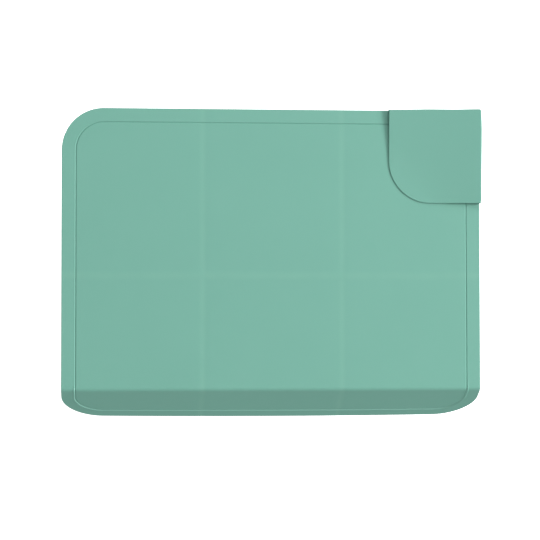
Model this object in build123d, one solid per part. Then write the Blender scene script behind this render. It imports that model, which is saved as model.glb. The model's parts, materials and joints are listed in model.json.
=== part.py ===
from build123d import *
from math import asin, cos, degrees, hypot, pi, radians, sin, sqrt, tan
import os

# A foldable silicone changing mat, laid on a table with its front edge hanging over the side.
# X runs along the width, Y from the hanging front edge to the rear edge, Z up.
# The origin is the centre of the flat area's underside. Lengths are in millimetres.

# Driving dimensions of the sheet
MAT_WIDTH = 600.0
FLAT_DEPTH = 398.0  # rear edge to where the front edge starts to bend
FRONT_LENGTH = 82.0  # bend and hanging edge together, measured along the sheet
THICKNESS = 1.5
CORNER_RADIUS = 60.0
GROOVE_INSET = 20.0
GROOVE_WIDTH = 1.2
GROOVE_DEPTH = 0.5

# Fold lines: three columns, two rows
HALF_FOLD_FROM_REAR = 237.0
COLUMN_CREASES = {"left": -MAT_WIDTH / 6, "right": MAT_WIDTH / 6}
CREASE_WIDTH = 3.0
CREASE_THINNING = 0.2  # taken off the underside along a column crease
FOLD_AXIS_HEIGHT = 7.8  # the folded half then lies clear of the corner pocket, even with its flap open
FOLD_WEB_WIDTH = pi * (FOLD_AXIS_HEIGHT - THICKNESS / 2)  # the stretch that turns over in the half fold

# Hanging front edge
BEND_ANGLE = 61.5
BEND_INNER_RADIUS = 4.5

# Corner pocket, a second layer joined to the rear and right edges by a rolled rim
POCKET_SIZE = 132.0
ROLL_RADIUS = 3.75
FLAP_WEB_WIDTH = 3.0
FLAP_AXIS_LIFT = 0.15  # hinge line above the pocket's top surface
FLAP_TIP_CLEARANCE = 0.3

# Places that follow from them
RIGHT = MAT_WIDTH / 2
REAR = FLAT_DEPTH / 2
BEND_START = -FLAT_DEPTH / 2
FRONT = BEND_START - FRONT_LENGTH
SHEET_MIDDLE = (REAR + FRONT) / 2
HALF_FOLD = REAR - HALF_FOLD_FROM_REAR
ROLL_CENTRE = ROLL_RADIUS
POCKET_TOP = 2 * ROLL_RADIUS
POCKET_UNDERSIDE = POCKET_TOP - THICKNESS
POCKET_LEFT = RIGHT - POCKET_SIZE
POCKET_FRONT = REAR - POCKET_SIZE
FLAP_AXIS_HEIGHT = POCKET_TOP + FLAP_AXIS_LIFT


def bend_pivot():
    """The one point about which the flat front edge turns to reach its bent place, as (y, z)."""
    angle = radians(BEND_ANGLE)
    middle = BEND_INNER_RADIUS + THICKNESS / 2
    flat = (BEND_START - middle * angle, THICKNESS / 2)
    bent = (BEND_START - middle * sin(angle), middle * cos(angle) - BEND_INNER_RADIUS)
    along = (bent[0] - flat[0], bent[1] - flat[1])
    reach = 1 / (2 * tan(angle / 2))
    return ((flat[0] + bent[0]) / 2 - along[1] * reach, (flat[1] + bent[1]) / 2 + along[0] * reach)


def flap_slope():
    """The angle at which the flap's rounded tip just clears the mat."""
    arc_centre_to_fold = (POCKET_SIZE - 2 * CORNER_RADIUS) / sqrt(2)
    tip = arc_centre_to_fold + CORNER_RADIUS
    below_axis = FLAP_AXIS_HEIGHT - POCKET_UNDERSIDE
    drop = FLAP_AXIS_HEIGHT - THICKNESS - FLAP_TIP_CLEARANCE
    return degrees(asin(drop / hypot(tip, below_axis)) - asin(below_axis / hypot(tip, below_axis)))


BEND_PIVOT = bend_pivot()
FLAP_SLOPE = flap_slope()
BEND_LENGTH = (BEND_INNER_RADIUS + THICKNESS / 2) * radians(BEND_ANGLE)


def rounded_outline(inset, square_pocket_corner):
    """The sheet's outline, drawn in by inset."""
    face = Rectangle(MAT_WIDTH - 2 * inset, FLAT_DEPTH + FRONT_LENGTH - 2 * inset)
    corners = face.vertices().sort_by(lambda v: v.X + v.Y)
    if square_pocket_corner:
        corners = corners[:-1]
    return Pos(0, SHEET_MIDDLE) * fillet(corners, CORNER_RADIUS - inset)


def make_sheet():
    """The whole mat laid flat, with its moulded groove."""
    sheet = extrude(rounded_outline(0, True), THICKNESS)
    ring = rounded_outline(GROOVE_INSET - GROOVE_WIDTH / 2, False)
    ring -= rounded_outline(GROOVE_INSET + GROOVE_WIDTH / 2, False)
    groove = Pos(0, 0, THICKNESS - GROOVE_DEPTH) * extrude(ring, 2 * GROOVE_DEPTH)
    return sheet - groove


def block(x, y, z):
    """A box between pairs of limits."""
    size = [high - low for low, high in (x, y, z)]
    middle = [(high + low) / 2 for low, high in (x, y, z)]
    return Pos(*middle) * Box(*size)


def cut_row(sheet, row, y, panel):
    """One row of the sheet as three panels and the two creases between them."""
    half = CREASE_WIDTH / 2
    left, right = COLUMN_CREASES["left"], COLUMN_CREASES["right"]
    columns = {
        "left": (-RIGHT - 1, left - half),
        "middle": (left + half, right - half),
        "right": (right + half, RIGHT + 1),
    }
    pieces = {f"{row}_{name}_{panel}": sheet & block(x, y, (-1, 9)) for name, x in columns.items()}
    for name, x in COLUMN_CREASES.items():
        strip = block((x - half, x + half), y, (CREASE_THINNING, 9))
        pieces[f"{row}_{name}_crease"] = sheet & strip
    return pieces


def bend_down(piece):
    """Carries a flat piece of the front edge to its bent place."""
    y, z = BEND_PIVOT
    return Pos(0, y, z) * Rot(BEND_ANGLE, 0, 0) * Pos(0, -y, -z) * piece


def bent_sector(inner, outer, x):
    """A stretch of the bend between two radii and two places along the width."""
    turn = Plane.YZ * (Circle(outer) - Circle(inner))
    tube = Pos(x[0], 0, 0) * extrude(turn, x[1] - x[0])
    upright = Pos(0, -outer, 0) * Box(3 * MAT_WIDTH, 2 * outer, 4 * outer)
    sloping = Rot(BEND_ANGLE, 0, 0) * Pos(0, outer, 0) * Box(3 * MAT_WIDTH, 2 * outer, 4 * outer)
    return Pos(0, BEND_START, -BEND_INNER_RADIUS) * (tube & upright & sloping)


def make_front_bend_web():
    """The curved stretch of sheet between the flat area and the hanging front edge."""
    outer = BEND_INNER_RADIUS + THICKNESS
    web = bent_sector(BEND_INNER_RADIUS, outer, (-RIGHT, RIGHT))
    for x in (GROOVE_INSET - RIGHT, RIGHT - GROOVE_INSET):
        limits = (x - GROOVE_WIDTH / 2, x + GROOVE_WIDTH / 2)
        web -= bent_sector(outer - GROOVE_DEPTH, outer + 1, limits)
    return web


def make_pocket_edge_roll():
    """The half-round rim that wraps the mat's rear and right edges at the pocket."""
    ring = Circle(ROLL_RADIUS) - Circle(ROLL_RADIUS - THICKNESS)
    profile = Plane.XZ * (ring & Pos(ROLL_RADIUS, 0) * Rectangle(2 * ROLL_RADIUS, 4 * ROLL_RADIUS))
    right_run = extrude(profile, POCKET_SIZE)
    rear_run = Rot(0, 0, 90) * extrude(profile, -POCKET_SIZE)
    corner = revolve(profile, Axis.Z, 90)
    return Pos(RIGHT, REAR, ROLL_CENTRE) * (right_run + corner + rear_run)


def pocket_outline():
    """The pocket seen from above, with its free front left corner rounded."""
    face = Rectangle(POCKET_SIZE, POCKET_SIZE)
    free_corner = face.vertices().sort_by(lambda v: v.X + v.Y)[0]
    return Pos(RIGHT - POCKET_SIZE / 2, REAR - POCKET_SIZE / 2) * fillet(free_corner, CORNER_RADIUS)


def fold_frame():
    """A frame on the flap's hinge line: x along the line, y towards the pocket's joined corner."""
    middle = (RIGHT - POCKET_SIZE / 2, REAR - POCKET_SIZE / 2, FLAP_AXIS_HEIGHT)
    return Pos(*middle) * Rot(0, 0, -45)


def pocket_layer():
    """The pocket's second layer, before it is divided at the hinge line."""
    return Pos(0, 0, POCKET_UNDERSIDE) * extrude(pocket_outline(), THICKNESS)


def beside_fold(side, start):
    """Everything further than start from the hinge line, on the side +1 (fixed) or -1 (free)."""
    reach = 2 * POCKET_SIZE
    return fold_frame() * Pos(0, side * (start + reach / 2), 0) * Box(2 * reach, reach, reach)


def flap_turn(piece):
    """Tips a piece of the flap down to its resting slope about the hinge line."""
    frame = fold_frame()
    return frame * Rot(FLAP_SLOPE, 0, 0) * frame.inverse() * piece


def make_pocket_fold_web():
    """The narrow strip that bends when the flap is lifted."""
    half = FLAP_WEB_WIDTH / 2
    top, bottom = -FLAP_AXIS_LIFT, -FLAP_AXIS_LIFT - THICKNESS
    slope = radians(FLAP_SLOPE)
    free_top = (-half * cos(slope) - top * sin(slope), -half * sin(slope) + top * cos(slope))
    free_bottom = (-half * cos(slope) - bottom * sin(slope), -half * sin(slope) + bottom * cos(slope))
    section = Plane.YZ * make_face(
        Polyline((half, top), (0, top), free_top, free_bottom, (0, bottom), (half, bottom), close=True)
    )
    strip = fold_frame() * Pos(-POCKET_SIZE, 0, 0) * extrude(section, 2 * POCKET_SIZE)
    return strip & block((POCKET_LEFT, RIGHT), (POCKET_FRONT, REAR), (0, 2 * POCKET_TOP))


def make_parts():
    """Every sub-part by name."""
    sheet = make_sheet()
    half_web = FOLD_WEB_WIDTH / 2
    web_start = BEND_START - BEND_LENGTH
    parts = cut_row(sheet, "upper", (HALF_FOLD + half_web, REAR + 1), "panel")
    parts |= cut_row(sheet, "lower", (BEND_START, HALF_FOLD - half_web), "panel")
    front = cut_row(sheet, "front", (FRONT - 1, web_start), "edge")
    parts |= {name: bend_down(piece) for name, piece in front.items()}
    fold_limits = (HALF_FOLD - half_web, HALF_FOLD + half_web)
    parts["half_fold_web"] = sheet & block((-RIGHT - 1, RIGHT + 1), fold_limits, (-1, 9))
    parts["front_bend_web"] = make_front_bend_web()
    parts["pocket_edge_roll"] = make_pocket_edge_roll()
    parts["pocket_base_layer"] = pocket_layer() & beside_fold(1, FLAP_WEB_WIDTH / 2)
    parts["pocket_fold_web"] = make_pocket_fold_web()
    parts["pocket_flap"] = flap_turn(pocket_layer() & beside_fold(-1, FLAP_WEB_WIDTH / 2))
    return parts


os.makedirs("parts", exist_ok=True)
for name, part in make_parts().items():
    export_step(part, f"parts/{name}.step")
print("front bend pivot (y, z):", [round(v, 4) for v in BEND_PIVOT])
print("flap slope:", round(FLAP_SLOPE, 4), "degrees")
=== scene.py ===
"""A foldable silicone changing mat on a plain plinth, its front edge hanging over the side.

Metres, in the part's own frame: X along the width, Y towards the rear edge, Z up.
"""

import json
from math import cos, exp, pi, radians, sin, sqrt

import bmesh
import bpy
from mathutils import Euler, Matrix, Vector, noise


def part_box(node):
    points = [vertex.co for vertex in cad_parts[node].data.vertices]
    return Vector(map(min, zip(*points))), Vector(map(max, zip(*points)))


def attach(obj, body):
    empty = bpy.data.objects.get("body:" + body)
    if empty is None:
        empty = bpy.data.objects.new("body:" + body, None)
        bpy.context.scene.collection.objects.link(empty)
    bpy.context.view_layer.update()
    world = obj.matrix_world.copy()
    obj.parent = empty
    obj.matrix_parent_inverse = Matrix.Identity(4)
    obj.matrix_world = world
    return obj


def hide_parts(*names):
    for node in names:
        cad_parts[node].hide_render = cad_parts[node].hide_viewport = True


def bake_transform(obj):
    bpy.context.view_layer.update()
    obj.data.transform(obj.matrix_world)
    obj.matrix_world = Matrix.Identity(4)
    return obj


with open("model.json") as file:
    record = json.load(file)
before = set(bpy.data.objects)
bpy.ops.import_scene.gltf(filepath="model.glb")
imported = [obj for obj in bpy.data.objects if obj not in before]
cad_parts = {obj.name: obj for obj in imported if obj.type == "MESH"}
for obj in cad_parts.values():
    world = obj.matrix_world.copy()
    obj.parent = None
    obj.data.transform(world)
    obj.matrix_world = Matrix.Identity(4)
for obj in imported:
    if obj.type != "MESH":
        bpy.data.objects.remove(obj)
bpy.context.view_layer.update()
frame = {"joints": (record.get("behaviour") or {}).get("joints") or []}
JOINTS = {joint["name"]: joint for joint in frame["joints"]}
MM = 0.001

# ---------------------------------------------------------------- sizes read from the frame
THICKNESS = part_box("upper_left_panel")[1].z
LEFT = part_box("upper_left_panel")[0].x
RIGHT = -LEFT
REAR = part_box("upper_left_panel")[1].y
HALF_FOLD = JOINTS["half_fold"]["pos_m"][1]
ROW_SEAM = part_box("half_fold_web")[0].y  # where the two rows of pieces meet, in front of the half fold
BEND_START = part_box("lower_left_panel")[0].y
BEND_ANGLE = -radians(JOINTS["front_edge_bend"]["range_deg"][0])
BEND_OUTER = (BEND_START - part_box("front_bend_web")[0].y) / sin(BEND_ANGLE)
BEND_MIDDLE = BEND_OUTER - THICKNESS / 2
BEND_INNER = BEND_MIDDLE - THICKNESS / 2
BEND_END = BEND_START - BEND_MIDDLE * BEND_ANGLE
CREASE_HALF = (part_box("upper_left_crease")[1].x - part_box("upper_left_crease")[0].x) / 2
CREASES = [sum(corner.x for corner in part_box(f"upper_{side}_crease")) / 2 for side in ("left", "right")]
POCKET_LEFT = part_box("pocket_flap")[0].x
POCKET_SIZE = RIGHT - POCKET_LEFT
POCKET_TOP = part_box("pocket_edge_roll")[1].z
ROLL_HEIGHT = POCKET_TOP / 2
FLAP_HINGE = Vector(JOINTS["corner_flap_lift"]["pos_m"])

# ---------------------------------------------------------------- sizes of the moulding
FRONT_LENGTH = 82 * MM  # bend and hanging strip, measured along the sheet
FRONT = BEND_START - FRONT_LENGTH
STRIP_LENGTH = FRONT_LENGTH - BEND_START + BEND_END  # what hangs past the bend
CORNER_RADIUS = 60 * MM
RIM_RADIUS = 0.6 * MM
FOLD_REACH = 5.5 * MM  # the half fold turns over within this distance of its line

GROOVE_INSET = 20 * MM
GROOVE_HALF = 1.25 * MM
GROOVE_DEPTH = 0.62 * MM
BEAD_OFFSET = 2.0 * MM  # the bead runs this far outside the groove
BEAD_HALF = 1.2 * MM
BEAD_HEIGHT = 0.04 * MM
HANGING_BEAD_HEIGHT = 0.8 * MM
BEAD_GROWTH = 16 * MM  # the bead grows to its hanging height over this length, about the bend's start

# ---------------------------------------------------------------- unevenness of the sheet
WAVE_HEIGHT = 0.22 * MM
WAVES_PER_METRE = 7
WAVE_SEED = 3.1
CREASE_DEPTH = 0.11 * MM
CREASE_REACH = 5.5 * MM
CREASE_SHIFT = 2.5 * MM  # a crease's valley lies this far to the right of its middle
RIDGE_HEIGHT = 0.12 * MM
RIDGE_REACH = 6 * MM
RIDGE_SHIFT = 0.5 * MM
RIDGE_WANDER = 3.5 * MM
RIDGE_WANDER_X = 30 * MM
RIDGE_WANDER_REACH = 90 * MM
STRIP_BOW = 1.8 * MM
STRIP_BOW_POWER = 1.5
STRIP_BOW_REACH = 260 * MM  # the strip bows out up to this far from its middle, and in past it
POCKET_CALM = 8 * MM  # under the pocket, the unevenness fades over this distance from the rear edge

# ---------------------------------------------------------------- sizes of the corner pocket
POCKET_LENGTH = POCKET_SIZE + 1.5 * MM
FLAP_REACH = 3.0 * MM  # the flap folds back within this distance of its hinge line
FLAP_DROP = 4.75 * MM  # how far the flap's tip lies below the pocket's top
FLAP_FREE = 95 * MM  # this far from both joined edges, the layer has sunk most of the way
FLAP_LEVELLING = 4  # how sharply the slope levels out there
FLAP_THINNING = 0.65 * MM
FLAP_THINNING_LENGTH = 40 * MM
FLAP_UNDER_RIM = 0.3 * MM  # the most that the underside rises at the rounded edge
ROLL_SQUARENESS = 0.5  # 1 is a round rim, and less is a flatter top with a tighter turn
ROLL_CORE = 0.05 * MM  # the least that a wall of the rim stands out
ROLL_START = 0.8 * MM
ROLL_SWELLS = (  # start and length, in edges from the rim's rear left end, and how much further out it leads
    (0.0, 0.5, 1.3 * MM),
    (0.7, 0.3, 0.9 * MM),
    (1.0, 0.2, 0.7 * MM),
    (1.1, 0.8, -1.2 * MM),
    (1.955, 0.045, -1.0 * MM),
)

# ---------------------------------------------------------------- look of the silicone
CLOUD_SCALE, CLOUD_SHARE = 9.0, 0.55  # the scales are features to the metre
PATCH_SCALE, PATCH_LEAST, PATCH_SPREAD = 30.0, 0.1, 0.9
WORN_FOLD_SHIFT, WORN_FOLD_REACH = 1.5 * MM, 9 * MM
WORN_CREASE_REACH = 7 * MM
# painted shade along the groove, where shade falls in the recess: its place, its reach and its strength
GROOVE_PAINTED_SHADE_SHIFT, GROOVE_PAINTED_SHADE_REACH, GROOVE_PAINTED_SHADE_SHARE = 0.15 * MM, 1.3 * MM, 0.65
# painted highlight along the bead: its reach, and its strength on the flat sheet and on the hanging strip
BEAD_PAINTED_HIGHLIGHT_REACH, BEAD_PAINTED_HIGHLIGHT_SHARE, HANGING_BEAD_PAINTED_HIGHLIGHT_SHARE = 1.3 * MM, 0.05, 0.60
POCKET_SHADE_FADE, POCKET_SHADE_FADE_START = -4.5, 2.2  # painted shade on the pocket, fading as x + y falls
ROUGH_SCALE, ROUGH_LEAST, ROUGH_SPREAD = 60.0, 0.56, 0.10
GRAIN_SCALE, GRAIN_HEIGHT = 2600.0, 0.02
PEBBLE_SCALE, PEBBLE_HEIGHT = 260.0, 0.05
BUMP_STRENGTH, BUMP_DISTANCE = 0.5, 1 * MM
PLAIN_FACE = -0.1  # stands for the inset on a face that has no groove
SEA_GREEN = (0.178, 0.420, 0.338, 1)
WORN_GREEN = (0.190, 0.436, 0.346, 1)
SHADE_GREEN = (0.160, 0.392, 0.316, 1)
# painted shade for the pocket's upper layer near the mat's rear right corner
POCKET_PAINTED_SHADE_GREEN = tuple(0.94 * channel for channel in SHADE_GREEN)
# painted shade for the groove
GROOVE_PAINTED_SHADE_GREEN = (0.105, 0.300, 0.236, 1)
# painted highlight for the bead
BEAD_PAINTED_HIGHLIGHT_GREEN = (0.290, 0.570, 0.480, 1)
WHITE = (1, 1, 1, 1)

# ---------------------------------------------------------------- studio
FLOOR_LEVEL = -0.20
STUDIO_REACH = 12.0  # from the middle to each wall, and up
WORLD_STRENGTH = 0.53
PLINTH_INSET = 28 * MM
PLINTH_FRONT_GAP = 2.5 * MM  # the plinth's front face stands this far past the bend's start
PLINTH_GAP = 0.3 * MM
PLINTH_BEVEL = 4.2 * MM
LAMPS = (  # name, place, size and watts
    ("key", (6.15, 1.3, 3.1), 2.5, 492),
    ("rear", (1.4, 5.1, 2.8), 3.0, 110),
    ("fill", (1.6, -3.8, 1.2), 2.0, 30),
)
CAMERA_PLACE = (-0.2309, -0.1327, 2.6231)
CAMERA_TURN = (2.211, -4.951, -0.06)  # degrees
CAMERA_LENS = 122.9
CAMERA_SENSOR = 36
CAMERA_CLIP = 50


def smooth(t):
    """0 up to t = 0 and 1 from t = 1, with a soft step between them."""
    t = min(1.0, max(0.0, t))
    return t * t * (3 - 2 * t)


def bell(t):
    """1 at t = 0, falling away softly on both sides."""
    return exp(-(t**2))


# ---------------------------------------------------------------- grid lines
RIM_STEPS = [RIM_RADIUS * (1 - cos(k * pi / 10)) for k in range(6)]
GROOVE_STEPS = [GROOVE_INSET + k * MM / 4 for k in range(-14, 6)]
BORDER_STEPS = [k * MM for k in (1.6, 4, 7, 10, 13, 16, 22, 25, 28, 32, 36, 40, 44, 48, 52, 56, 60)]
EDGE_STEPS = sorted(RIM_STEPS + GROOVE_STEPS + BORDER_STEPS)
POCKET_BORDER_STEPS = [k * MM for k in (1.6, 4, 7, 10, 14, 18, 22, 26, 31, 36, 42, 48, 54, 60)]
CREASE_STEPS = [k * CREASE_HALF for k in (-7, -5, -4, -3, -2, -1, -0.5, 0, 0.5, 1, 2, 3, 4, 5, 7)]
CREASE_CLEARANCE = 11 * MM  # no other line comes this near to a crease
ACROSS_STEP = 9 * MM
STRIP_STEP = 3 * MM
BEND_CUTS = 10
BEFORE_BEND, PAST_BEND = -6, 15  # the bend's fine lines go on a little way on both sides of it
LOWER_HALF_STEP = 7 * MM
LOWER_HALF_START = 4 * MM  # behind the bend's start
SEAM_STEP = 1.2 * MM
FOLD_CUTS = 14
RIDGE_FIELD = 14 * MM  # the lines stay close up to this far behind the half fold
RIDGE_STEP = 1.4 * MM
UPPER_HALF_STEP = 8 * MM
POCKET_STEP = 5 * MM
FLAP_CUTS = 8  # on each side of the flap's hinge line
ROLL_STEPS = 40  # along each edge
ROLL_END_STEPS = 3  # the last few steps, where the rim draws in, are cut finer
ROLL_END_CUTS = 7
ROLL_CORNER_STEPS = 8
ROLL_TURN_STEPS = 16
SAME_LINE = 0.02 * MM
SAME_POINT = 0.004 * MM
SPECK = 0.001 * MM
TOUCH = 1e-7


def spread(low, high, step):
    """Evenly spaced lines strictly between two limits."""
    count = max(1, round((high - low) / step))
    return [low + (high - low) * k / count for k in range(1, count)]


def merge(lines):
    """Sorted lines, without those that nearly coincide."""
    kept = []
    for line in sorted(lines):
        if not kept or line - kept[-1] > SAME_LINE:
            kept.append(line)
    return kept


def between(lines, low, high):
    """The lines from one limit to the other, with those that lie on them."""
    return [line for line in lines if low - TOUCH <= line <= high + TOUCH]


def lines_across():
    """The grid's lines along the width."""
    lines = [LEFT + s for s in EDGE_STEPS] + [RIGHT - s for s in EDGE_STEPS]
    lines += spread(LEFT + CORNER_RADIUS, RIGHT - CORNER_RADIUS, ACROSS_STEP)
    for crease in CREASES:
        lines = [x for x in lines if abs(x - crease) > CREASE_CLEARANCE]
        lines += [crease + s for s in CREASE_STEPS]
    return merge(lines)


def lines_along():
    """The grid's lines from the front edge to the rear, on the flat sheet."""
    bend = BEND_END - BEND_START
    lines = [FRONT + s for s in EDGE_STEPS] + [REAR - s for s in EDGE_STEPS]
    lines += spread(FRONT + CORNER_RADIUS, BEND_END, STRIP_STEP)
    lines += [BEND_START + bend * k / BEND_CUTS for k in range(BEFORE_BEND, PAST_BEND + 1)]
    lines += spread(BEND_START + LOWER_HALF_START, ROW_SEAM, LOWER_HALF_STEP)
    lines += [ROW_SEAM] + spread(ROW_SEAM, HALF_FOLD - FOLD_REACH, SEAM_STEP)
    lines += [HALF_FOLD + FOLD_REACH * k / FOLD_CUTS for k in range(-FOLD_CUTS, FOLD_CUTS + 1)]
    lines += spread(HALF_FOLD + FOLD_REACH, HALF_FOLD + RIDGE_FIELD, RIDGE_STEP)
    lines += spread(HALF_FOLD + RIDGE_FIELD, REAR - CORNER_RADIUS, UPPER_HALF_STEP)
    return merge(lines)


# ---------------------------------------------------------------- shape of the sheet
def inset_of(x, y):
    """Distance in from the sheet's edge."""
    return min(x - LEFT, RIGHT - x, y - FRONT, REAR - y)


def rounded(a, b):
    """Takes a place in a square corner, measured from the arc's centre, to its place in the round one."""
    ring = max(a, b)
    if ring <= 0:
        return a, b
    angle = pi / 4 * (b / a) if a >= b else pi / 2 - pi / 4 * (a / b)
    return ring * cos(angle), ring * sin(angle)


def in_outline(x, y):
    """Moves a grid point into the rounded outline. The corner under the pocket is square."""
    side = 1 if x > 0 else -1
    across = side * x - (RIGHT - CORNER_RADIUS)
    rear = y - (REAR - CORNER_RADIUS)
    front = (FRONT + CORNER_RADIUS) - y
    if across > 0 and rear > 0 and side < 0:
        across, rear = rounded(across, rear)
        return side * (RIGHT - CORNER_RADIUS + across), REAR - CORNER_RADIUS + rear
    if across > 0 and front > 0:
        across, front = rounded(across, front)
        return side * (RIGHT - CORNER_RADIUS + across), FRONT + CORNER_RADIUS - front
    return x, y


def rim_drop(inset):
    """How far a face falls away where the edge is rounded."""
    if inset >= RIM_RADIUS:
        return 0.0
    return RIM_RADIUS - sqrt(max(0.0, RIM_RADIUS**2 - (RIM_RADIUS - inset) ** 2))


def groove_drop(inset, y):
    """The moulded groove's depth, a round-bottomed channel with a low bead along its outer side."""
    groove = max(0.0, 1 - abs(inset - GROOVE_INSET) / GROOVE_HALF)
    bead = max(0.0, 1 - abs(inset - GROOVE_INSET + BEAD_OFFSET) / BEAD_HALF)
    hanging = smooth((BEND_START + BEAD_GROWTH / 2 - y) / BEAD_GROWTH)
    height = BEAD_HEIGHT + hanging * (HANGING_BEAD_HEIGHT - BEAD_HEIGHT)
    return GROOVE_DEPTH * smooth(groove) - height * smooth(bead)


def half_fold_ridge(x):
    """Where the soft ridge of the half fold runs. It wanders a little towards the front."""
    wander = RIDGE_WANDER * bell((x - RIDGE_WANDER_X) / RIDGE_WANDER_REACH)
    return HALF_FOLD - (RIDGE_SHIFT + wander)


def relief(x, y):
    """Soft unevenness of a sheet that is kept folded: crease valleys, a half fold ridge and a bowed strip."""
    height = WAVE_HEIGHT * (1 + noise.noise(Vector((x * WAVES_PER_METRE, y * WAVES_PER_METRE, WAVE_SEED))))
    for crease in CREASES:
        height -= CREASE_DEPTH * bell((x - crease - CREASE_SHIFT) / CREASE_REACH)
    height += RIDGE_HEIGHT * bell((y - half_fold_ridge(x)) / RIDGE_REACH)
    past = max(0.0, BEND_END - y) / STRIP_LENGTH
    height += STRIP_BOW * past**STRIP_BOW_POWER * (1 - (x / STRIP_BOW_REACH) ** 2)
    return height * smooth((REAR - y) / POCKET_CALM) if x > POCKET_LEFT else height


def in_place(x, y, z):
    """Carries a point of the flat sheet to where it lies, round the bend and down the hanging strip."""
    if y >= BEND_START:
        return Vector((x, y, z))
    out = z + BEND_INNER
    turn = min(BEND_START - y, BEND_START - BEND_END) / BEND_MIDDLE
    past = max(0.0, BEND_END - y)
    forward = out * sin(turn) + past * cos(BEND_ANGLE)
    return Vector((x, BEND_START - forward, out * cos(turn) - BEND_INNER - past * sin(BEND_ANGLE)))


def sheet_top(x, y):
    """A grid point's place on the mat's upper face."""
    inset = inset_of(x, y)
    z = THICKNESS - rim_drop(inset) - groove_drop(inset, y)
    u, v = in_outline(x, y)
    return in_place(u, v, z + relief(u, v))


def sheet_bottom(x, y):
    """A grid point's place on the mat's underside."""
    u, v = in_outline(x, y)
    return in_place(u, v, rim_drop(inset_of(x, y)) + relief(u, v))


def sheet_place(x, y):
    """What the material reads on the sheet: its place when flat, and its distance in from the edge."""
    return (*in_outline(x, y), inset_of(x, y))


# ---------------------------------------------------------------- materials
class Nodes:
    """Short calls for building a material's nodes."""

    MIX_SHARE, MIX_FIRST, MIX_SECOND = 0, 6, 7  # a mix node's inputs when it mixes colours
    MIX_COLOUR = 2  # and its output

    def __init__(self, name):
        self.material = bpy.data.materials.new(name)
        self.material.use_nodes = True
        self.tree = self.material.node_tree
        self.shader = self.tree.nodes["Principled BSDF"]

    def add(self, kind, **settings):
        node = self.tree.nodes.new(kind)
        for key, value in settings.items():
            setattr(node, key, value)
        return node

    def feed(self, node, values):
        """Gives each named or numbered input its number or colour, or links the output that makes it."""
        for key, value in values.items():
            if isinstance(value, bpy.types.NodeSocket):
                self.tree.links.new(value, node.inputs[key])
            else:
                node.inputs[key].default_value = value

    def maths(self, operation, *values, clamp=False):
        node = self.add("ShaderNodeMath", operation=operation, use_clamp=clamp)
        self.feed(node, dict(enumerate(values)))
        return node.outputs[0]

    def noise(self, vector, scale, detail=2.0):
        """Soft noise from 0 to 1, with scale features to the metre."""
        node = self.add("ShaderNodeTexNoise")
        self.feed(node, {"Vector": vector, "Scale": scale, "Detail": detail, "Roughness": 0.5})
        return node.outputs["Fac"]

    def band(self, value, centre, reach):
        """1 on a line of the sheet, falling smoothly to 0 at reach."""
        away = self.maths("ABSOLUTE", self.maths("SUBTRACT", value, centre))
        node = self.add("ShaderNodeMapRange", interpolation_type="SMOOTHSTEP")
        self.feed(node, {"Value": away, "From Min": 0.0, "From Max": reach, "To Min": 1.0, "To Max": 0.0})
        return node.outputs["Result"]

    def mix(self, share, first, second):
        node = self.add("ShaderNodeMix", data_type="RGBA")
        self.feed(node, {self.MIX_SHARE: share, self.MIX_FIRST: first, self.MIX_SECOND: second})
        return node.outputs[self.MIX_COLOUR]


def pocket_painted_shade(n, colour, across, along):
    """Painted shade on the pocket, a little darker near the mat's rear right corner and fading towards the
    free one.
    """
    unshaded = n.maths("MULTIPLY_ADD", n.maths("ADD", across, along), POCKET_SHADE_FADE, POCKET_SHADE_FADE_START, clamp=True)
    return n.mix(unshaded, POCKET_PAINTED_SHADE_GREEN, colour)


def wear_and_painted_light_colour(n, colour, place, across, along, inset):
    """Patchy paler folds, painted shade along the groove, and a painted highlight along the bead, strongest
    on the hanging strip.
    """
    worn = n.band(along, HALF_FOLD - WORN_FOLD_SHIFT, WORN_FOLD_REACH)
    for crease in CREASES:
        worn = n.maths("MAXIMUM", worn, n.band(across, crease, WORN_CREASE_REACH))
    patchy = n.maths("MULTIPLY_ADD", n.noise(place, PATCH_SCALE), PATCH_SPREAD, PATCH_LEAST)
    colour = n.mix(n.maths("MULTIPLY", worn, patchy), colour, WORN_GREEN)
    # painted shade darkening the groove
    groove = n.band(inset, GROOVE_INSET + GROOVE_PAINTED_SHADE_SHIFT, GROOVE_PAINTED_SHADE_REACH)
    colour = n.mix(n.maths("MULTIPLY", groove, GROOVE_PAINTED_SHADE_SHARE), colour, GROOVE_PAINTED_SHADE_GREEN)
    # a painted highlight along the bead, much stronger on the hanging strip
    bead_highlight = n.band(inset, GROOVE_INSET - BEAD_OFFSET / 2, BEAD_PAINTED_HIGHLIGHT_REACH)
    hanging = n.maths("LESS_THAN", along, BEND_START)
    share = n.maths("MULTIPLY_ADD", hanging, HANGING_BEAD_PAINTED_HIGHLIGHT_SHARE, BEAD_PAINTED_HIGHLIGHT_SHARE)
    return n.mix(n.maths("MULTIPLY", bead_highlight, share), colour, BEAD_PAINTED_HIGHLIGHT_GREEN)


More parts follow.
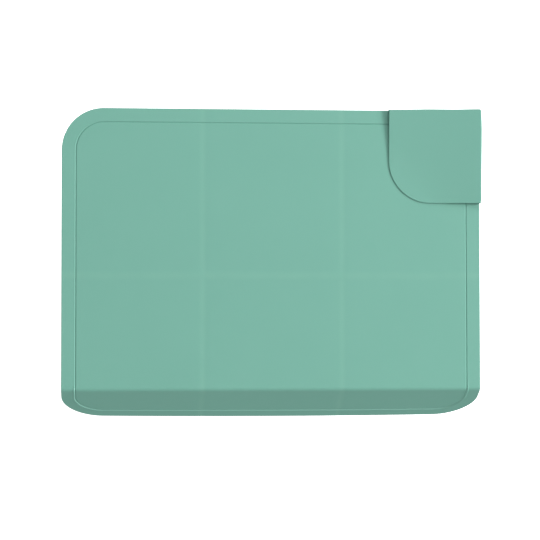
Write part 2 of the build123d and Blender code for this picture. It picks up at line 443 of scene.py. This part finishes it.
def silicone(name, on_sheet):
    """Satin moulded silicone: faint clouding and a fine skin; on the sheet its folds, painted shade in the
    groove and a painted highlight on the bead, and on the pocket a painted shade.
    """
    n = Nodes(name)
    place = n.add("ShaderNodeAttribute", attribute_name="flat_place").outputs["Vector"]
    split = n.add("ShaderNodeSeparateXYZ")
    n.feed(split, {0: place})
    across, along, inset = split.outputs
    cloud = n.maths("MULTIPLY", n.noise(place, CLOUD_SCALE, detail=3.0), CLOUD_SHARE, clamp=True)
    colour = n.mix(cloud, SEA_GREEN, SHADE_GREEN)
    if on_sheet:
        colour = wear_and_painted_light_colour(n, colour, place, across, along, inset)
    else:
        colour = pocket_painted_shade(n, colour, across, along)
    rough = n.maths("MULTIPLY_ADD", n.noise(place, ROUGH_SCALE, detail=3.0), ROUGH_SPREAD, ROUGH_LEAST)
    grain = n.maths("MULTIPLY", n.noise(place, GRAIN_SCALE), GRAIN_HEIGHT)
    pebble = n.maths("MULTIPLY", n.noise(place, PEBBLE_SCALE), PEBBLE_HEIGHT)
    skin = n.maths("ADD", grain, pebble)
    bump = n.add("ShaderNodeBump")
    n.feed(bump, {"Strength": BUMP_STRENGTH, "Distance": BUMP_DISTANCE, "Height": skin})
    n.feed(
        n.shader,
        {
            "Base Color": colour,
            "Roughness": rough,
            "Normal": bump.outputs["Normal"],
            "Specular IOR Level": 0.32,
            "Subsurface Weight": 0.12,
            "Subsurface Radius": (0.6, 1.0, 0.8),
            "Subsurface Scale": 1.5 * MM,
        },
    )
    return n.material


def painted(name, white, glow):
    """A matt white. The floor's glow drowns the shadows that fall on it."""
    n = Nodes(name)
    look = {"Base Color": (white, white, white, 1), "Roughness": 0.8, "Specular IOR Level": 0.1}
    n.feed(n.shader, {**look, "Emission Color": WHITE, "Emission Strength": glow})
    return n.material


# ---------------------------------------------------------------- meshes
def new_piece(name, verts, faces, places, material, sharp):
    """A mesh object that keeps each point's place on the flat sheet, with the seam edges kept sharp."""
    mesh = bpy.data.meshes.new(name)
    mesh.from_pydata(verts, [], faces)
    mesh.materials.append(material)
    mesh.polygons.foreach_set("use_smooth", [True] * len(mesh.polygons))
    attribute = mesh.attributes.new("flat_place", "FLOAT_VECTOR", "POINT")
    attribute.data.foreach_set("vector", [number for place in places for number in place])
    seams = {frozenset(pair) for pair in sharp}
    for edge in mesh.edges:
        edge.use_edge_sharp = frozenset(edge.vertices) in seams
    mesh.update()
    piece = bpy.data.objects.new(name, mesh)
    bpy.context.scene.collection.objects.link(piece)
    return piece


def grid_solid(name, xs, ys, top, bottom, place, material, sharp_sides):
    """A closed sheet over a grid.

    top and bottom take a grid point to the two faces, and place to what the material reads there.
    sharp_sides are the cut sides, whose edges shade sharp.
    """
    verts, places, faces, sharp = [], [], [], []
    columns, rows = len(xs), len(ys)
    for surface in (top, bottom):
        for x in xs:
            for y in ys:
                across, along, inset = place(x, y)
                verts.append(surface(x, y))
                places.append((across, along, inset if surface is top else PLAIN_FACE))
    under = columns * rows

    def at(i, j):
        return i * rows + j

    for i in range(columns - 1):
        for j in range(rows - 1):
            a, b, c, d = at(i, j), at(i + 1, j), at(i + 1, j + 1), at(i, j + 1)
            faces.append((a, b, c, d))
            faces.append((under + d, under + c, under + b, under + a))
    borders = {
        "front": [at(i, 0) for i in range(columns)],
        "right": [at(columns - 1, j) for j in range(rows)],
        "rear": [at(i, rows - 1) for i in reversed(range(columns))],
        "left": [at(0, j) for j in reversed(range(rows))],
    }
    for side, border in borders.items():
        for a, b in zip(border, border[1:]):
            faces.append((b, a, under + a, under + b))
            if side in sharp_sides:
                sharp += [(a, b), (under + a, under + b)]
        if side in sharp_sides:
            sharp += [(border[0], under + border[0]), (border[-1], under + border[-1])]
    return new_piece(name, verts, faces, places, material, sharp)


# ---------------------------------------------------------------- the mat
COLUMNS = {
    "left_panel": (LEFT, CREASES[0] - CREASE_HALF),
    "left_crease": (CREASES[0] - CREASE_HALF, CREASES[0] + CREASE_HALF),
    "middle_panel": (CREASES[0] + CREASE_HALF, CREASES[1] - CREASE_HALF),
    "right_crease": (CREASES[1] - CREASE_HALF, CREASES[1] + CREASE_HALF),
    "right_panel": (CREASES[1] + CREASE_HALF, RIGHT),
}
ROWS = {"rear": (ROW_SEAM, REAR), "front": (FRONT, ROW_SEAM)}
SEAM_SIDE = {"rear": "front", "front": "rear"}  # the side of each row that meets the other row


def cut_sides(row, left, right):
    """The sides on which a piece meets its neighbours."""
    sides = {SEAM_SIDE[row]}
    if left > LEFT:
        sides.add("left")
    if right < RIGHT:
        sides.add("right")
    return sides


def carry(piece, row, column):
    """Bakes a piece of the mat where it lies, and hides the nodes it takes the place of."""
    if row == "rear":
        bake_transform(piece)
        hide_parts(f"upper_{column}")
    else:
        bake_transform(piece)
        edge = column.replace("panel", "edge")
        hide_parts(f"lower_{column}", f"front_{edge}")


def make_mat(material):
    """The mat itself: two rows of three panels, with a crease between each two columns."""
    across, along = lines_across(), lines_along()
    for row, (front, rear) in ROWS.items():
        for column, (left, right) in COLUMNS.items():
            xs, ys = between(across, left, right), between(along, front, rear)
            sharp = cut_sides(row, left, right)
            name = f"mat_{row}_{column}"
            piece = grid_solid(name, xs, ys, sheet_top, sheet_bottom, sheet_place, material, sharp)
            carry(piece, row, column)
    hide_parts("half_fold_web")
    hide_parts("front_bend_web")


# ---------------------------------------------------------------- corner pocket
def past_hinge(x, y):
    """Distance past the flap's hinge line, towards its free corner."""
    return max(0.0, ((FLAP_HINGE.x - x) + (FLAP_HINGE.y - y)) / sqrt(2))


def flap_drop(x, y):
    """How far the pocket's upper layer has sunk towards the mat, held up as it is along two edges."""
    share = max(0.0, RIGHT - x) * max(0.0, REAR - y) / FLAP_FREE**2
    return FLAP_DROP * share / (1 + share**FLAP_LEVELLING) ** (1 / FLAP_LEVELLING)


def pocket_outline(p, q):
    """Grid place to real place, p and q being distances in from the right and the rear edges."""
    arc_centre = POCKET_SIZE - CORNER_RADIUS
    a, b = p - arc_centre, q - arc_centre
    if a > 0 and b > 0:
        a, b = rounded(a, b)
        p, q = arc_centre + a, arc_centre + b
    return RIGHT - p, REAR - q * (POCKET_LENGTH / POCKET_SIZE)


def pocket_top(x, y):
    """A grid point's place on the layer's upper face, before it sags."""
    inset = min(POCKET_SIZE + x, POCKET_SIZE + y)
    return (*pocket_outline(-x, -y), POCKET_TOP - rim_drop(inset))


def pocket_bottom(x, y):
    """A grid point's place on the layer's underside, before it sags."""
    inset = min(POCKET_SIZE + x, POCKET_SIZE + y)
    u, v = pocket_outline(-x, -y)
    thinning = FLAP_THINNING * smooth(past_hinge(u, v) / FLAP_THINNING_LENGTH)
    return u, v, POCKET_TOP - THICKNESS + thinning + min(rim_drop(inset), FLAP_UNDER_RIM)


def pocket_place(x, y):
    return (*pocket_outline(-x, -y), PLAIN_FACE)


def make_pocket_layer(material):
    """The pocket's upper layer: fixed towards the mat's corner, free beyond the diagonal.

    Its grid runs from minus the pocket's size at the two free edges to 0 at the two joined ones.
    """
    steps = [POCKET_SIZE - s for s in RIM_STEPS + POCKET_BORDER_STEPS]
    insets = merge(steps + [0.0] + spread(0, POCKET_SIZE - CORNER_RADIUS, POCKET_STEP))
    lines = [-inset for inset in reversed(insets)]
    joined = {"rear", "right"}
    piece = grid_solid(
        "pocket_layer", lines, lines, pocket_top, pocket_bottom, pocket_place, material, joined
    )
    across_fold = Vector((-1, -1, 0)).normalized()
    shape = bmesh.new()
    shape.from_mesh(piece.data)
    for k in range(-FLAP_CUTS, FLAP_CUTS + 1):
        bmesh.ops.bisect_plane(
            shape,
            geom=shape.verts[:] + shape.edges[:] + shape.faces[:],
            dist=TOUCH,
            plane_co=FLAP_HINGE + across_fold * (FLAP_REACH * k / FLAP_CUTS),
            plane_no=across_fold,
        )
    for vert in shape.verts:
        vert.co.z -= flap_drop(vert.co.x, vert.co.y)
    shape.to_mesh(piece.data)
    shape.free()
    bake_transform(piece)
    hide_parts("pocket_base_layer", "pocket_fold_web", "pocket_flap")


def roll_reach(edges):
    """How far the rolled rim stands out of the mat's edge, at a place counted as in ROLL_SWELLS."""
    return ROLL_START + sum(swell * smooth((edges - start) / length) for start, length, swell in ROLL_SWELLS)


def roll_stations():
    """The rim's sections, along the rear edge and then the right: place, outward heading, edges passed."""
    coarse = ROLL_STEPS - ROLL_END_STEPS
    ends = [(coarse + ROLL_END_STEPS * k / ROLL_END_CUTS) / ROLL_STEPS for k in range(1, ROLL_END_CUTS + 1)]
    stations = []
    for k in range(ROLL_STEPS + 1):
        share = k / ROLL_STEPS
        stations.append((POCKET_LEFT + POCKET_SIZE * share, REAR, pi / 2, share))
    for k in range(1, ROLL_CORNER_STEPS):
        stations.append((RIGHT, REAR, pi / 2 * (1 - k / ROLL_CORNER_STEPS), 1.0))
    for share in [k / ROLL_STEPS for k in range(coarse + 1)] + ends:
        stations.append((RIGHT, REAR - POCKET_LENGTH * share, 0.0, 1 + share))
    return stations


def make_pocket_rim(material):
    """The rolled rim that joins the pocket's layer to the mat's rear and right edges."""
    turns = [k * pi / ROLL_TURN_STEPS for k in range(ROLL_TURN_STEPS + 1)]
    stations = roll_stations()
    verts, places, faces, sharp = [], [], [], []
    for wall in (0.0, THICKNESS):
        for x, y, heading, edges in stations:
            reach = max(ROLL_CORE, roll_reach(edges) - wall)
            for turn in turns:
                out = reach * sin(turn) ** ROLL_SQUARENESS
                rise = abs(cos(turn)) ** ROLL_SQUARENESS * (1 if turn < pi / 2 else -1)
                z = ROLL_HEIGHT + (ROLL_HEIGHT - wall) * rise
                verts.append((x + out * cos(heading), y + out * sin(heading), z))
                places.append((x, y, PLAIN_FACE))
    count, width = len(stations), len(turns)
    under = count * width

    def at(i, j):
        return i * width + j

    for i in range(count - 1):
        for j in range(width - 1):
            a, b, c, d = at(i, j), at(i + 1, j), at(i + 1, j + 1), at(i, j + 1)
            faces += [(a, d, c, b), (under + b, under + c, under + d, under + a)]
    for i in range(count - 1):
        for j in (0, width - 1):
            a, b = at(i, j), at(i + 1, j)
            faces.append((a, b, under + b, under + a) if j == 0 else (b, a, under + a, under + b))
            sharp += [(a, b), (under + a, under + b)]
    for i in (0, count - 1):
        for j in range(width - 1):
            a, b = at(i, j), at(i, j + 1)
            faces.append((b, a, under + a, under + b) if i == 0 else (a, b, under + b, under + a))
            sharp += [(a, b), (under + a, under + b)]
    piece = new_piece("pocket_rim", verts, faces, places, material, sharp)
    shape = bmesh.new()
    shape.from_mesh(piece.data)
    bmesh.ops.remove_doubles(shape, verts=shape.verts[:], dist=SAME_POINT)
    bmesh.ops.dissolve_degenerate(shape, edges=shape.edges[:], dist=SPECK)
    bmesh.ops.recalc_face_normals(shape, faces=shape.faces[:])
    shape.to_mesh(piece.data)
    shape.free()
    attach(piece, "upper_half")
    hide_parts("pocket_edge_roll")


# ---------------------------------------------------------------- studio
def make_plinth(material):
    """The plain block that the mat lies on, with rounded upper edges."""
    low = Vector((LEFT + PLINTH_INSET, BEND_START - PLINTH_FRONT_GAP, FLOOR_LEVEL))
    high = Vector((RIGHT - PLINTH_INSET, REAR - PLINTH_INSET, -PLINTH_GAP))
    mesh = bpy.data.meshes.new("plinth")
    shape = bmesh.new()
    bmesh.ops.create_cube(shape, size=1)
    for vert in shape.verts:
        vert.co = Vector((low[k] if vert.co[k] < 0 else high[k]) for k in range(3))
    upper = [edge for edge in shape.edges if all(v.co.z > low.z + MM for v in edge.verts)]
    bmesh.ops.bevel(shape, geom=upper, offset=PLINTH_BEVEL, segments=6, affect="EDGES", profile=0.5)
    shape.to_mesh(mesh)
    shape.free()
    mesh.materials.append(material)
    plinth = bpy.data.objects.new("plinth", mesh)
    bpy.context.scene.collection.objects.link(plinth)


def make_floor(material):
    """A white studio: a floor and the four walls round it, well outside the lamps."""
    reach = STUDIO_REACH
    corners = [(-reach, -reach), (reach, -reach), (reach, reach), (-reach, reach)]
    verts = [(x, y, z) for z in (FLOOR_LEVEL, reach) for x, y in corners]
    walls = [(k, (k + 1) % 4, (k + 1) % 4 + 4, k + 4) for k in range(4)]
    mesh = bpy.data.meshes.new("floor")
    mesh.from_pydata(verts, [], [(0, 1, 2, 3), *walls])
    mesh.materials.append(material)
    floor = bpy.data.objects.new("floor", mesh)
    floor.visible_diffuse = False
    floor.visible_glossy = False
    floor.visible_shadow = False
    bpy.context.scene.collection.objects.link(floor)


def make_lamp(name, place, size, power):
    """A round soft light that shines on the mat and isn't seen itself."""
    light = bpy.data.lights.new(name, "AREA")
    light.shape = "DISK"
    light.size = size
    light.energy = power
    lamp = bpy.data.objects.new(name, light)
    lamp.location = place
    lamp.rotation_euler = (-Vector(place)).to_track_quat("-Z", "Y").to_euler()
    lamp.visible_camera = False
    bpy.context.scene.collection.objects.link(lamp)


def make_world():
    """An even white light from all round."""
    world = bpy.data.worlds.new("studio")
    world.use_nodes = True
    background = world.node_tree.nodes["Background"]
    background.inputs["Color"].default_value = WHITE
    background.inputs["Strength"].default_value = WORLD_STRENGTH
    bpy.context.scene.world = world


def make_camera():
    """The view from nearly straight above, a little in front and to the left."""
    camera = bpy.data.cameras.new("camera")
    camera.sensor_width = CAMERA_SENSOR
    camera.lens = CAMERA_LENS
    camera.clip_end = CAMERA_CLIP
    mount = bpy.data.objects.new("camera", camera)
    mount.location = CAMERA_PLACE
    mount.rotation_euler = Euler([radians(angle) for angle in CAMERA_TURN], "XYZ")
    bpy.context.scene.collection.objects.link(mount)
    bpy.context.scene.camera = mount


bpy.context.scene.view_settings.view_transform = "Standard"
sheet_silicone = silicone("satin_silicone", on_sheet=True)
pocket_silicone = silicone("satin_silicone_pocket", on_sheet=False)
make_mat(sheet_silicone)
make_pocket_layer(pocket_silicone)
make_pocket_rim(pocket_silicone)
make_plinth(painted("plinth_white", 0.85, glow=0.0))
make_floor(painted("floor_white", 0.8, glow=1.0))
make_world()
for lamp in LAMPS:
    make_lamp(*lamp)
make_camera()
